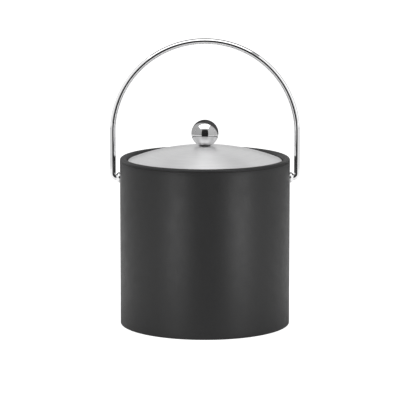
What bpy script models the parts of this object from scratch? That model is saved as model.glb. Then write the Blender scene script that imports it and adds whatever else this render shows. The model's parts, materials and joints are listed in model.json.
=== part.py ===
"""Ice bucket with a rod bail and a lift-off domed lid.

A vinyl-covered tube holds a plastic liner in foam. A rolled rim caps the tube, and the lid sits down
inside the rim. The bail is one bent rod whose ends turn in two domed ears, each held by a washer and a
nut inside the wall. World axes: +Z up, X along the bail's hinge. The felt under the base rests on z = 0.
"""

import math

import bmesh
import bpy

MM = 0.001
GAP = 0.3  # clearance between pieces that touch

# Driving dimensions, in millimetres.
BODY_RADIUS = 95.0
WALL_TOP = 185.0
COVER_THICKNESS = 0.7
TUBE_THICKNESS = 3.0
SEAM_WIDTH = 0.4
HEM_BOTTOM = 0.6
HEM_RADIUS = 86.0  # how far in the cover is turned under the wall

FELT_RADIUS = 84.0
FELT_THICKNESS = 1.3
BASE_THICKNESS = 4.0

RIM_INNER_RADIUS = 87.3
RIM_CROWN_HEIGHT = 188.5
RIM_SKIRT_BOTTOM = 180.5
RIM_CORNER = 0.4

LINER_TOP_RADIUS = 82.5
LINER_FLOOR_RADIUS = 76.9
LINER_FLOOR = 23.4
LINER_WALL = 1.5
LINER_FLANGE_THICKNESS = 1.6
LINER_CORNER = 5.0
FOAM_TOP = 154.0
FOAM_FIT = 0.6  # slack between the foam and the liner

LID_RADIUS = 86.5
LID_APEX = 201.4
LID_DOME_RADIUS = 232.0
LID_METAL = 1.0
LID_EDGE_RADIUS = 1.6
SCREW_HOLE_RADIUS = 2.2

BALL_RADIUS = 15.2
BALL_CENTRE = 215.3
BALL_BORE_DEPTH = 10.0
COLLAR_RADIUS = 6.2
COLLAR_THICKNESS = 0.4
KNOB_WASHER_RADIUS = 5.0
KNOB_WASHER_THICKNESS = 1.0
SCREW_RADIUS = 1.9
SCREW_HEAD_RADIUS = 3.6
SCREW_HEAD_HEIGHT = 2.5
SCREW_SLOT_WIDTH = 0.9
SCREW_SLOT_DEPTH = 1.1

PIVOT_HEIGHT = 165.5
ROD_RADIUS = 3.175
BAIL_HALF_SPAN = 102.8
BAIL_ARCH_HEIGHT = 215.5  # height at which the straight legs meet the round arch
BAIL_BEND_RADIUS = 4.5
BAIL_TIP = 87.5  # distance of the rod's ends from the middle

EAR_RADIUS = 6.0
EAR_DOME_HEIGHT = 4.6
EAR_BORE_RADIUS = 3.5
EAR_SHANK_RADIUS = 4.8
EAR_INNER_END = 86.0  # distance of the shank's end from the middle
EAR_HOLE_RADIUS = EAR_SHANK_RADIUS + GAP
EAR_WASHER_RADIUS = 7.5
EAR_WASHER_THICKNESS = 0.8
EAR_WASHER_FACE = 90.2  # distance of its outer face from the middle
EAR_NUT_THICKNESS = 2.6
EAR_NUT_RADIUS = 7.5  # across the corners

# Values that follow from the ones above.
COVER_INNER_RADIUS = BODY_RADIUS - COVER_THICKNESS
HEM_TOP = HEM_BOTTOM + COVER_THICKNESS
TUBE_BOTTOM = HEM_TOP + GAP
TUBE_RADIUS = COVER_INNER_RADIUS - GAP
TUBE_INNER_RADIUS = TUBE_RADIUS - TUBE_THICKNESS
INSIDE_FIT_RADIUS = TUBE_INNER_RADIUS - GAP
BASE_BOTTOM = max(FELT_THICKNESS, HEM_TOP) + GAP
BASE_TOP = BASE_BOTTOM + BASE_THICKNESS
RIM_BOTTOM = WALL_TOP + GAP
FLANGE_TOP = RIM_SKIRT_BOTTOM - GAP
FLANGE_BOTTOM = FLANGE_TOP - LINER_FLANGE_THICKNESS
LINER_BOTTOM = LINER_FLOOR - LINER_WALL
LID_BOTTOM = FLANGE_TOP + GAP
LID_UNDERSIDE_APEX = LID_APEX - LID_METAL
COLLAR_BOTTOM = LID_APEX + GAP
BALL_FLAT = COLLAR_BOTTOM + COLLAR_THICKNESS + GAP
KNOB_WASHER_TOP = LID_UNDERSIDE_APEX - GAP
KNOB_WASHER_BOTTOM = KNOB_WASHER_TOP - KNOB_WASHER_THICKNESS
SCREW_HEAD_TOP = KNOB_WASHER_BOTTOM - GAP
SCREW_HEAD_BOTTOM = SCREW_HEAD_TOP - SCREW_HEAD_HEIGHT
SCREW_TIP = BALL_FLAT + BALL_BORE_DEPTH - GAP
EAR_NUT_FACE = EAR_WASHER_FACE - EAR_WASHER_THICKNESS - GAP

# Sides of the round pieces.
BIG_ROUND = 60
MEDIUM_ROUND = 28
SMALL_ROUND = 20
ROD_BEVEL_RESOLUTION = 4

# Linear colour, roughness and metallic value of each material.
CHARCOAL_VINYL = ("charcoal_vinyl", (0.045, 0.045, 0.047), 0.45, 0.0)
RIGID_BOARD = ("rigid_board", (0.33, 0.30, 0.26), 0.85, 0.0)
WHITE_PLASTIC = ("white_plastic", (0.80, 0.80, 0.78), 0.35, 0.0)
WHITE_FOAM = ("white_foam", (0.85, 0.85, 0.82), 0.90, 0.0)
DARK_FELT = ("dark_felt", (0.03, 0.03, 0.03), 0.95, 0.0)
SATIN_METAL = ("satin_metal", (0.66, 0.66, 0.66), 0.35, 1.0)
CHROME = ("chrome", (0.80, 0.80, 0.81), 0.07, 1.0)
ZINC_STEEL = ("zinc_steel", (0.60, 0.60, 0.60), 0.30, 1.0)
BLACK_RUBBER = ("black_rubber", (0.03, 0.03, 0.03), 0.60, 0.0)


def clear_scene():
    for old in list(bpy.data.objects):
        bpy.data.objects.remove(old, do_unlink=True)


def material(finish):
    """The material of that finish, made once and shared by the pieces that have it."""
    name, colour, roughness, metallic = finish
    found = bpy.data.materials.get(name)
    if found:
        return found
    made = bpy.data.materials.new(name)
    made.use_nodes = True
    shader = made.node_tree.nodes["Principled BSDF"]
    shader.inputs["Base Color"].default_value = (*colour, 1.0)
    shader.inputs["Roughness"].default_value = roughness
    shader.inputs["Metallic"].default_value = metallic
    return made


def arc(centre_r, centre_z, half_width, half_height, start, end, steps):
    """Points along an ellipse in the (radius, height) plane, from angle start to end in degrees."""
    points = []
    for step in range(steps + 1):
        angle = math.radians(start + (end - start) * step / steps)
        points.append((centre_r + half_width * math.cos(angle), centre_z + half_height * math.sin(angle)))
    return points


def placed(name, mesh, finish, location=(0.0, 0.0, 0.0), parent=None):
    """Makes the object of a mesh at a world place in millimetres, smooth where its faces meet softly."""
    mesh.materials.append(material(finish))
    mesh.shade_smooth()
    mesh.set_sharp_from_angle(angle=math.radians(35))
    made = bpy.data.objects.new(name, mesh)
    made.location = [value * MM for value in location]
    bpy.context.scene.collection.objects.link(made)
    if parent:
        made.parent = parent
        made.location -= parent.location
    return made


def empty(name, location):
    """An empty at a world place in millimetres, to hang a moving group on."""
    made = bpy.data.objects.new(name, None)
    made.location = [value * MM for value in location]
    bpy.context.scene.collection.objects.link(made)
    return made


def turned_mesh(name, outline, sides):
    """A solid turned about Z from an outline of (radius, height) in millimetres.

    An outline that starts and ends on the axis is open there, and any other one closes on itself.
    """
    form = bmesh.new()
    corners = [form.verts.new((radius * MM, 0.0, height * MM)) for radius, height in outline]
    edges = [form.edges.new(pair) for pair in zip(corners, corners[1:])]
    meets_axis = outline[0][0] == 0.0 and outline[-1][0] == 0.0
    if not meets_axis:
        edges.append(form.edges.new((corners[-1], corners[0])))
    bmesh.ops.spin(
        form,
        geom=corners + edges,
        cent=(0.0, 0.0, 0.0),
        axis=(0.0, 0.0, 1.0),
        angle=2.0 * math.pi,
        steps=sides,
        use_merge=True,
    )
    bmesh.ops.remove_doubles(form, verts=form.verts, dist=1e-6)
    bmesh.ops.recalc_face_normals(form, faces=form.faces)
    mesh = bpy.data.meshes.new(name)
    form.to_mesh(mesh)
    form.free()
    return mesh


def turned(name, outline, sides, finish, parent=None):
    """A piece turned about the bucket's own axis, with heights measured from the table."""
    shift = (0.0, 0.0, 0.0) if parent is None else tuple(value / MM for value in parent.location)
    local = [(radius, height - shift[2]) for radius, height in outline]
    return placed(name, turned_mesh(name, local, sides), finish, shift, parent)


def cutter(name, kind, location, size, turn=(0.0, 0.0, 0.0)):
    """A hidden box or cylinder that Booleans cut with, of these full lengths along X, Y and Z."""
    form = bmesh.new()
    if kind == "box":
        bmesh.ops.create_cube(form, size=1.0)
    else:
        bmesh.ops.create_cone(
            form, cap_ends=True, segments=SMALL_ROUND, radius1=0.5, radius2=0.5, depth=1.0
        )
    bmesh.ops.scale(form, vec=[value * MM for value in size], verts=form.verts)
    mesh = bpy.data.meshes.new(name)
    form.to_mesh(mesh)
    form.free()
    made = bpy.data.objects.new(name, mesh)
    made.location = [value * MM for value in location]
    made.rotation_euler = turn
    made.hide_render = True
    made.display_type = "WIRE"
    bpy.context.scene.collection.objects.link(made)
    return made


def cut(piece, tool):
    boolean = piece.modifiers.new("cut_" + tool.name, "BOOLEAN")
    boolean.operation = "DIFFERENCE"
    boolean.object = tool


def ring(inner, outer, low, high):
    """The outline of a plain ring."""
    return [(outer, high), (outer, low), (inner, low), (inner, high)]


def disc(radius, low, high):
    """The outline of a plain disc with no hole."""
    return [(0.0, high), (radius, high), (radius, low), (0.0, low)]


def shell_tube(holes):
    outline = ring(TUBE_INNER_RADIUS, TUBE_RADIUS, TUBE_BOTTOM, WALL_TOP)
    cut(turned("shell_tube", outline, BIG_ROUND, RIGID_BOARD), holes)


def vinyl_cover(holes):
    """The wrapped sheet. It turns under the wall, and its two edges meet in a butt seam at the back."""
    outline = [
        (BODY_RADIUS, WALL_TOP),
        (BODY_RADIUS, HEM_BOTTOM),
        (HEM_RADIUS, HEM_BOTTOM),
        (HEM_RADIUS, HEM_TOP),
        (COVER_INNER_RADIUS, HEM_TOP),
        (COVER_INNER_RADIUS, WALL_TOP),
    ]
    piece = turned("vinyl_cover", outline, BIG_ROUND, CHARCOAL_VINYL)
    cut(piece, holes)
    seam_depth = 4.0 * (BODY_RADIUS - HEM_RADIUS)
    seam = cutter(
        "seam_cutter", "box", (0.0, BODY_RADIUS, WALL_TOP / 2), (SEAM_WIDTH, seam_depth, 2.0 * WALL_TOP)
    )
    cut(piece, seam)


def rim_ring():
    """The rolled rim: a rounded crown over the wall's top, and a skirt glued down inside the tube."""
    middle = (BODY_RADIUS + RIM_INNER_RADIUS) / 2
    half_width = (BODY_RADIUS - RIM_INNER_RADIUS) / 2
    outer_start = RIM_BOTTOM + RIM_CORNER
    inner_start = RIM_CROWN_HEIGHT - half_width
    outline = arc(middle, inner_start, half_width, half_width, 180, 90, 4)[:-1]
    outline += arc(middle, outer_start, half_width, RIM_CROWN_HEIGHT - outer_start, 90, 0, 4)
    outline += [
        (BODY_RADIUS - RIM_CORNER, RIM_BOTTOM),
        (INSIDE_FIT_RADIUS, RIM_BOTTOM),
        (INSIDE_FIT_RADIUS, RIM_SKIRT_BOTTOM),
        (RIM_INNER_RADIUS, RIM_SKIRT_BOTTOM),
    ]
    turned("rim_ring", outline, BIG_ROUND, CHARCOAL_VINYL)


def liner_radius(height):
    """The liner's inner radius at a height, along its draft."""
    share = (height - LINER_FLOOR) / (FLANGE_TOP - LINER_FLOOR)
    return LINER_FLOOR_RADIUS + (LINER_TOP_RADIUS - LINER_FLOOR_RADIUS) * share


def inner_liner():
    """The plastic pail that holds the ice. Its flange is held down by the rim's skirt."""
    corner_r = LINER_FLOOR_RADIUS - LINER_CORNER
    corner_z = LINER_FLOOR + LINER_CORNER
    outer_corner = LINER_CORNER + LINER_WALL
    flange_radius = INSIDE_FIT_RADIUS
    wall_radius = liner_radius(FLANGE_BOTTOM) + LINER_WALL
    outline = [(0.0, LINER_FLOOR)]
    outline += arc(corner_r, corner_z, LINER_CORNER, LINER_CORNER, -90, 0, 3)
    outline += [
        (LINER_TOP_RADIUS, FLANGE_TOP),
        (flange_radius, FLANGE_TOP),
        (flange_radius, FLANGE_BOTTOM),
        (wall_radius, FLANGE_BOTTOM),
    ]
    outline += arc(corner_r, corner_z, outer_corner, outer_corner, 0, -90, 3)
    outline += [(0.0, LINER_BOTTOM)]
    turned("inner_liner", outline, BIG_ROUND, WHITE_PLASTIC)


def foam_sleeve():
    """The insulation round the liner. It ends below the ears' nuts."""
    slack = LINER_WALL + FOAM_FIT
    outline = [
        (INSIDE_FIT_RADIUS, FOAM_TOP),
        (INSIDE_FIT_RADIUS, BASE_TOP + GAP),
        (LINER_FLOOR_RADIUS + slack, BASE_TOP + GAP),
        (LINER_FLOOR_RADIUS + slack, LINER_FLOOR),
        (liner_radius(FOAM_TOP) + slack, FOAM_TOP),
    ]
    turned("foam_sleeve", outline, BIG_ROUND, WHITE_FOAM)


def foam_pad():
    """The insulation that the liner stands on."""
    radius = LINER_FLOOR_RADIUS + LINER_WALL
    turned("foam_pad", disc(radius, BASE_TOP + GAP, LINER_BOTTOM - GAP), BIG_ROUND, WHITE_FOAM)


def base_disc():
    turned("base_disc", disc(INSIDE_FIT_RADIUS, BASE_BOTTOM, BASE_TOP), BIG_ROUND, RIGID_BOARD)


def base_felt():
    turned("base_felt", disc(FELT_RADIUS, 0.0, FELT_THICKNESS), BIG_ROUND, DARK_FELT)


def lid_dome(parent):
    """The spun lid: a shallow dome with a turned-down edge that stands on the liner's flange."""
    centre = LID_APEX - LID_DOME_RADIUS
    edge_r = LID_RADIUS - LID_EDGE_RADIUS
    inner_r = LID_RADIUS - LID_METAL
    rings = 6

    def dome(radius, depth):
        """Height of the dome's outer face, or of the face that many millimetres inside it."""
        return centre + math.sqrt((LID_DOME_RADIUS - depth) ** 2 - radius**2)

    def dome_radius(first, last, step):
        return first + (last - first) * step / rings

    edge_z = dome(edge_r, LID_EDGE_RADIUS)
    edge_start = math.degrees(math.atan2(edge_z - centre, edge_r))
    last_radius = LID_DOME_RADIUS * math.cos(math.radians(edge_start))
    outline = []
    for step in range(rings):
        radius = dome_radius(SCREW_HOLE_RADIUS, last_radius, step)
        outline.append((radius, dome(radius, 0.0)))
    outline += arc(edge_r, edge_z, LID_EDGE_RADIUS, LID_EDGE_RADIUS, edge_start, 0, 3)
    outline += [(LID_RADIUS, LID_BOTTOM), (inner_r, LID_BOTTOM)]
    for step in range(rings + 1):
        radius = dome_radius(inner_r, SCREW_HOLE_RADIUS, step)
        outline.append((radius, dome(radius, LID_METAL)))
    turned("lid_dome", outline, BIG_ROUND, SATIN_METAL, parent)


def knob_ball(parent):
    """A ball with a small flat underneath and a blind threaded hole for the screw."""
    flat_angle = math.degrees(math.asin((BALL_FLAT - BALL_CENTRE) / BALL_RADIUS))
    bore_top = BALL_FLAT + BALL_BORE_DEPTH
    outline = [(0.0, bore_top), (SCREW_HOLE_RADIUS, bore_top), (SCREW_HOLE_RADIUS, BALL_FLAT)]
    outline += arc(0.0, BALL_CENTRE, BALL_RADIUS, BALL_RADIUS, flat_angle, 90, 12)[:-1]
    outline += [(0.0, BALL_CENTRE + BALL_RADIUS)]
    turned("knob_ball", outline, MEDIUM_ROUND, CHROME, parent)


def knob_collar(parent):
    outline = ring(SCREW_HOLE_RADIUS, COLLAR_RADIUS, COLLAR_BOTTOM, COLLAR_BOTTOM + COLLAR_THICKNESS)
    turned("knob_collar", outline, MEDIUM_ROUND, BLACK_RUBBER, parent)


def knob_washer(parent):
    outline = ring(SCREW_HOLE_RADIUS, KNOB_WASHER_RADIUS, KNOB_WASHER_BOTTOM, KNOB_WASHER_TOP)
    turned("knob_washer", outline, SMALL_ROUND, ZINC_STEEL, parent)


def knob_screw(parent):
    """A slotted screw that comes up through the lid into the ball."""
    rise = SCREW_HEAD_HEIGHT * 0.55
    outline = [(0.0, SCREW_HEAD_BOTTOM)]
    outline += arc(0.0, SCREW_HEAD_BOTTOM + rise, SCREW_HEAD_RADIUS, rise, -72, 0, 3)
    outline += [
        (SCREW_HEAD_RADIUS, SCREW_HEAD_TOP),
        (SCREW_RADIUS, SCREW_HEAD_TOP),
        (SCREW_RADIUS, SCREW_TIP - SCREW_RADIUS / 2),
        (SCREW_RADIUS / 2, SCREW_TIP),
        (0.0, SCREW_TIP),
    ]
    piece = turned("knob_screw", outline, SMALL_ROUND, ZINC_STEEL, parent)
    slot = cutter(
        "slot_cutter",
        "box",
        (0.0, 0.0, SCREW_HEAD_BOTTOM),
        (4.0 * SCREW_HEAD_RADIUS, SCREW_SLOT_WIDTH, 2.0 * SCREW_SLOT_DEPTH),
    )
    cut(piece, slot)


def facing_out(piece, side):
    """Turns a piece that was made standing up so that its +Z points away from the bucket."""
    piece.rotation_euler = (0.0, side * math.pi / 2, 0.0)
    return piece


def ear(name, side):
    """A domed bushing through the wall. The rod's end turns in its bore."""
    base = BODY_RADIUS + GAP
    mouth_angle = math.degrees(math.acos((EAR_BORE_RADIUS + GAP) / EAR_RADIUS))
    mouth = EAR_DOME_HEIGHT * math.sin(math.radians(mouth_angle))
    outline = arc(0.0, 0.0, EAR_RADIUS, EAR_DOME_HEIGHT, 0, mouth_angle, 4)
    outline += [
        (EAR_BORE_RADIUS, mouth - GAP),
        (EAR_BORE_RADIUS, EAR_INNER_END - base),
        (EAR_SHANK_RADIUS, EAR_INNER_END - base),
        (EAR_SHANK_RADIUS, 0.0),
    ]
    mesh = turned_mesh(name, outline, MEDIUM_ROUND)
    facing_out(placed(name, mesh, CHROME, (side * base, 0.0, PIVOT_HEIGHT)), side)


def ear_washer(name, side):
    outline = ring(EAR_HOLE_RADIUS, EAR_WASHER_RADIUS, -EAR_WASHER_THICKNESS, 0.0)
    mesh = turned_mesh(name, outline, SMALL_ROUND)
    facing_out(placed(name, mesh, ZINC_STEEL, (side * EAR_WASHER_FACE, 0.0, PIVOT_HEIGHT)), side)


def ear_nut(name, side, holes):
    """A thin hexagon nut on the ear's shank."""
    low = -EAR_NUT_THICKNESS
    chamfer = 0.1 * EAR_NUT_RADIUS
    outline = [
        (0.0, 0.0),
        (EAR_NUT_RADIUS - chamfer, 0.0),
        (EAR_NUT_RADIUS, -chamfer / 2),
        (EAR_NUT_RADIUS, low + chamfer / 2),
        (EAR_NUT_RADIUS - chamfer, low),
        (0.0, low),
    ]
    mesh = turned_mesh(name, outline, 6)
    piece = placed(name, mesh, ZINC_STEEL, (side * EAR_NUT_FACE, 0.0, PIVOT_HEIGHT))
    cut(facing_out(piece, side), holes)


def bail_path():
    """The rod's centreline as (x, z) from the hinge's axis: in through one ear, up, over and back."""
    arch_z = BAIL_ARCH_HEIGHT - PIVOT_HEIGHT
    bend_x = BAIL_HALF_SPAN - BAIL_BEND_RADIUS
    bend = arc(-bend_x, BAIL_BEND_RADIUS, BAIL_BEND_RADIUS, BAIL_BEND_RADIUS, 270, 180, 4)
    arch = arc(0.0, arch_z, BAIL_HALF_SPAN, BAIL_HALF_SPAN, 180, 90, 16)
    left = [(-BAIL_TIP, 0.0)] + bend + arch
    right = [(-x, z) for x, z in reversed(left[:-1])]
    return left + right


def bail_handle(parent):
    path = bail_path()
    curve = bpy.data.curves.new("bail_handle", "CURVE")
    curve.dimensions = "3D"
    curve.bevel_depth = ROD_RADIUS * MM
    curve.bevel_resolution = ROD_BEVEL_RESOLUTION
    curve.use_fill_caps = True
    spline = curve.splines.new("POLY")
    spline.points.add(len(path) - 1)
    for point, (x, z) in zip(spline.points, path):
        point.co = (x * MM, 0.0, z * MM, 1.0)
        point.radius = 1.0
    curve.materials.append(material(CHROME))
    made = bpy.data.objects.new("bail_handle", curve)
    made.parent = parent
    bpy.context.scene.collection.objects.link(made)


def build():
    clear_scene()
    ear_holes = cutter(
        "ear_hole_cutter",
        "cylinder",
        (0.0, 0.0, PIVOT_HEIGHT),
        (2.0 * EAR_HOLE_RADIUS, 2.0 * EAR_HOLE_RADIUS, 3.0 * BODY_RADIUS),
        (0.0, math.pi / 2, 0.0),
    )
    base_felt()
    base_disc()
    shell_tube(ear_holes)
    vinyl_cover(ear_holes)
    rim_ring()
    foam_pad()
    foam_sleeve()
    inner_liner()
    for name, side in (("left", -1), ("right", 1)):
        ear("ear_" + name, side)
        ear_washer("ear_washer_" + name, side)
        ear_nut("ear_nut_" + name, side, ear_holes)
    bail_handle(empty("bail_hinge_axis", (0.0, 0.0, PIVOT_HEIGHT)))
    lid = empty("lid_seat", (0.0, 0.0, LID_BOTTOM))
    lid_dome(lid)
    knob_collar(lid)
    knob_ball(lid)
    knob_washer(lid)
    knob_screw(lid)


build()
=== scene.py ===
"""The looks of the ice bucket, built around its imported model.

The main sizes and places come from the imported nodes, or are named constants below. Small roundings of edges,
and the lights' places and strengths, are given where they are used. Lengths are in metres, +Z is up and X runs
along the bail's hinge. Round pieces are turned from outlines, the bail is swept along its path, and every
material is procedural.
"""

import functools
import json
import math

import bmesh
import bpy
from mathutils import Matrix, Vector, noise


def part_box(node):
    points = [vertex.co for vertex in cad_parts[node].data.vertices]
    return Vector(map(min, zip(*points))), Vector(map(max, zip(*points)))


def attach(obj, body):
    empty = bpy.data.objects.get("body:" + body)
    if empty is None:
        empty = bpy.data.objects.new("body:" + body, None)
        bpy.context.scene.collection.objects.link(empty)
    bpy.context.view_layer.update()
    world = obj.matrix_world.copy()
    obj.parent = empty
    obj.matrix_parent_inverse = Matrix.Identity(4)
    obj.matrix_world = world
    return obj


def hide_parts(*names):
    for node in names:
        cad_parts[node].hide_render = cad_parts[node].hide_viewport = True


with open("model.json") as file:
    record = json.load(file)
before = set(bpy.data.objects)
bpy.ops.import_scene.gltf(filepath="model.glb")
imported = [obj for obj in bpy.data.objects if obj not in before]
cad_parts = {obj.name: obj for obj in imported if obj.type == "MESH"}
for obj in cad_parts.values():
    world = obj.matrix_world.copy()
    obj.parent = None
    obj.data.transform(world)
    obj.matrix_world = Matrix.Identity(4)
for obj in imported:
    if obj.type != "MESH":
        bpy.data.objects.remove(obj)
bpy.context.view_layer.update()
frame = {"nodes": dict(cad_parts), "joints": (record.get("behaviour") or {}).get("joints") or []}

MM = 0.001
TAU = 2.0 * math.pi

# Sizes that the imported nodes' own boxes don't give.
GAP = 0.3 * MM
LINER_WALL = 1.5 * MM
LINER_CORNER = 5.0 * MM
LINER_FLANGE = 1.6 * MM
FOAM_FIT = 0.6 * MM
LID_DOME_RADIUS = 232.0 * MM
LID_METAL = 1.0 * MM
LID_EDGE_RADIUS = 1.6 * MM
SCREW_HOLE_RADIUS = 2.2 * MM
SCREW_RADIUS = 1.9 * MM
SCREW_HEAD_HEIGHT = 2.5 * MM
BALL_BORE_DEPTH = 10.0 * MM
BAIL_BEND_RADIUS = 4.5 * MM
BAIL_TIP = 87.5 * MM
EAR_SHANK_RADIUS = 4.8 * MM
EAR_BORE_RADIUS = 3.5 * MM
EAR_DOME_HEIGHT = 4.6 * MM
SEAM_HALF_WIDTH = 0.5 * MM
SEAM_DEPTH = 0.35 * MM
PLY_WIDTH = 38.0 * MM
BEAD_SIZE = 3.4 * MM
EAR_THREAD_PITCH = 0.75 * MM
SCREW_THREAD_PITCH = 0.7 * MM
THREAD_STEP = 0.12 * MM

# Sides of the round pieces.
BIG_ROUND = 240
MEDIUM_ROUND = 72
SMALL_ROUND = 48


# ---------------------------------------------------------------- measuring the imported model


@functools.cache
def around(node):
    """(radius, bottom, top) of a node that is round about the bucket's axis."""
    low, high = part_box(node)
    return high.x, low.z, high.z


@functools.cache
def bore(node):
    """Radius of the hole through a node that is round about the bucket's axis."""
    return min(corner.co.xy.length for corner in frame["nodes"][node].data.vertices)


@functools.cache
def hinge_height():
    """Height of the bail's hinge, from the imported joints."""
    joints = {joint["name"]: joint for joint in frame["joints"]}
    return joints["bail_hinge"]["pos_m"][2]


# ---------------------------------------------------------------- outlines


def arc(centre, width, height, start, end, steps=8):
    """Points along an ellipse in the (radius, height) plane, between two angles in degrees."""
    points = []
    for step in range(steps + 1):
        angle = math.radians(start + (end - start) * step / steps)
        points.append((centre[0] + width * math.cos(angle), centre[1] + height * math.sin(angle)))
    return points


def rounded(corners, closed=True, steps=5):
    """The outline through corners of (radius, height, fillet), with each fillet as an arc."""
    points = []
    last = len(corners) - 1
    for index, (radius, height, fillet) in enumerate(corners):
        corner = Vector((radius, height))
        if not fillet or (not closed and index in (0, last)):
            points.append((radius, height))
            continue
        before = (Vector(corners[index - 1][:2]) - corner).normalized()
        after = (Vector(corners[(index + 1) % len(corners)][:2]) - corner).normalized()
        half = before.angle(after) / 2
        centre = corner + (before + after).normalized() * (fillet / math.sin(half))
        reach = fillet / math.tan(half)
        first = corner + before * reach - centre
        final = corner + after * reach - centre
        sweep = math.atan2(first.x * final.y - first.y * final.x, first.dot(final))
        for step in range(steps + 1):
            point = centre + Matrix.Rotation(sweep * step / steps, 2) @ first
            points.append((point.x, point.y))
    return points


def divided(outline, gap):
    """The outline with its long stretches divided, so that the mesh has rings there."""
    points = []
    for first, last in zip(outline, outline[1:]):
        count = max(1, math.ceil((Vector(last) - Vector(first)).length / gap))
        for step in range(count):
            point = Vector(first).lerp(Vector(last), step / count)
            points.append((point.x, point.y))
    return points + [outline[-1]]


# ---------------------------------------------------------------- meshes


def mesh_of(name, form):
    """The finished mesh of a bmesh, with its faces pointing out."""
    bmesh.ops.recalc_face_normals(form, faces=form.faces)
    mesh = bpy.data.meshes.new(name)
    form.to_mesh(mesh)
    form.free()
    return mesh


def turned(name, outline, closed=True, sides=BIG_ROUND, angles=None, shape=None):
    """A mesh turned about Z. An open outline starts and ends on the axis.

    shape(radius, height, angle) may give another radius and height for a point.
    """
    angles = angles or [TAU * step / sides for step in range(sides)]
    form = bmesh.new()
    rings = []
    for radius, height in outline:
        if radius < 1e-7:
            rings.append([form.verts.new((0.0, 0.0, height))])
            continue
        ring = []
        for angle in angles:
            far, high = shape(radius, height, angle) if shape else (radius, height)
            ring.append(form.verts.new((far * math.cos(angle), far * math.sin(angle), high)))
        rings.append(ring)
    pairs = list(zip(rings, rings[1:]))
    if closed:
        pairs.append((rings[-1], rings[0]))
    for first, second in pairs:
        for step in range(len(angles)):
            after = (step + 1) % len(angles)
            corners = [first[step % len(first)], first[after % len(first)]]
            corners += [second[after % len(second)], second[step % len(second)]]
            form.faces.new(list(dict.fromkeys(corners)))
    return mesh_of(name, form)


def swept_rod(name, path, radius, tip, sides=40):
    """A round rod along a path in the XZ plane, with its two ends rounded over by tip."""
    centres = [Vector((x, 0.0, z)) for x, z in path]
    ways = []
    for index in range(len(centres)):
        behind = centres[max(index - 1, 0)]
        ways.append((centres[min(index + 1, len(centres) - 1)] - behind).normalized())
    caps = []
    for end, way, inward in ((centres[0], ways[0], 1.0), (centres[-1], ways[-1], -1.0)):
        cap = []
        for step in range(7):
            angle = math.radians(90 * step / 6)
            place = end + way * inward * tip * (1.0 - math.sin(angle))
            cap.append((place, way, radius - tip * (1.0 - math.cos(angle))))
        caps.append(cap)
    middle = [(place, way, radius) for place, way in zip(centres[1:-1], ways[1:-1])]
    form = bmesh.new()
    rings = []
    across = Vector((0.0, 1.0, 0.0))
    for place, way, size in caps[0][::-1] + middle + caps[1]:
        up = way.cross(across)
        ring = []
        for step in range(sides):
            angle = TAU * step / sides
            ring.append(form.verts.new(place + size * (math.cos(angle) * across + math.sin(angle) * up)))
        rings.append(ring)
    for first, second in zip(rings, rings[1:]):
        for step in range(sides):
            after = (step + 1) % sides
            form.faces.new((first[step], first[after], second[after], second[step]))
    form.faces.new(rings[0])
    form.faces.new(rings[-1])
    return mesh_of(name, form)


def carved(mesh, tools):
    """The mesh with the tool meshes cut away."""
    holder = bpy.data.objects.new("carved_holder", mesh)
    bpy.context.scene.collection.objects.link(holder)
    cutters = []
    for index, tool in enumerate(tools):
        cutter = bpy.data.objects.new(f"carving_tool_{index}", tool)
        bpy.context.scene.collection.objects.link(cutter)
        boolean = holder.modifiers.new(f"carve_{index}", "BOOLEAN")
        boolean.operation = "DIFFERENCE"
        boolean.object = cutter
        cutters.append(cutter)
    depsgraph = bpy.context.evaluated_depsgraph_get()
    result = bpy.data.meshes.new_from_object(holder.evaluated_get(depsgraph))
    result.name = mesh.name + "_cut"
    for used in [holder] + cutters:
        bpy.data.objects.remove(used)
    return result


def box_mesh(size, centre):
    """A box to carve with, of these full lengths round a centre."""
    form = bmesh.new()
    bmesh.ops.create_cube(form, size=1.0)
    bmesh.ops.scale(form, vec=size, verts=form.verts)
    bmesh.ops.translate(form, vec=centre, verts=form.verts)
    return mesh_of("carving_box", form)


def facing_out(mesh, side, distance, height):
    """Turns a mesh made about Z to point away from the bucket, at a distance along X and a height."""
    mesh.transform(Matrix.Rotation(side * math.pi / 2, 4, "Y"))
    mesh.transform(Matrix.Translation((side * distance, 0.0, height)))
    return mesh


def thread(crest, pitch, depth, low, high):
    """Cuts a right-hand thread into the points of a shank whose radius is crest, between two heights."""

    def shape(radius, height, angle):
        if abs(radius - crest) > 1e-7 or not low < height < high:
            return radius, height
        turn = (height / pitch - angle / TAU) % 1.0
        return radius - depth * abs(2.0 * turn - 1.0), height

    return shape


# ---------------------------------------------------------------- shader nodes


def new_material(name):
    """A node tree with its Principled shader, and the object's own coordinates in metres."""
    made = bpy.data.materials.new(name)
    made.use_nodes = True
    tree = made.node_tree
    place = add(tree, "TexCoord").outputs["Object"]
    return made, tree, tree.nodes["Principled BSDF"], place


def add(tree, kind, inputs=None, **settings):
    """A shader node. Each input is a value or another node's output."""
    made = tree.nodes.new("ShaderNode" + kind)
    for name, value in settings.items():
        setattr(made, name, value)
    for key, value in (inputs or {}).items():
        if isinstance(value, bpy.types.NodeSocket):
            tree.links.new(value, made.inputs[key])
        else:
            made.inputs[key].default_value = value
    return made


def calc(tree, operation, first, second=0.0):
    """One sum on two values or outputs."""
    return add(tree, "Math", {0: first, 1: second}, operation=operation).outputs[0]


def between(tree, value, low, high, to_low=0.0, to_high=1.0, soft=False):
    """The value carried over from one range to another, and held at its ends."""
    inputs = {"Value": value, "From Min": low, "From Max": high, "To Min": to_low, "To Max": to_high}
    kind = "SMOOTHSTEP" if soft else "LINEAR"
    return add(tree, "MapRange", inputs, interpolation_type=kind).outputs["Result"]


def grain(tree, place, size, detail=2.0, rough=0.5):
    """Noise whose features are about this size across."""
    inputs = {"Vector": place, "Scale": 1.0 / size, "Detail": detail, "Roughness": rough}
    return add(tree, "TexNoise", inputs).outputs["Fac"]


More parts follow.
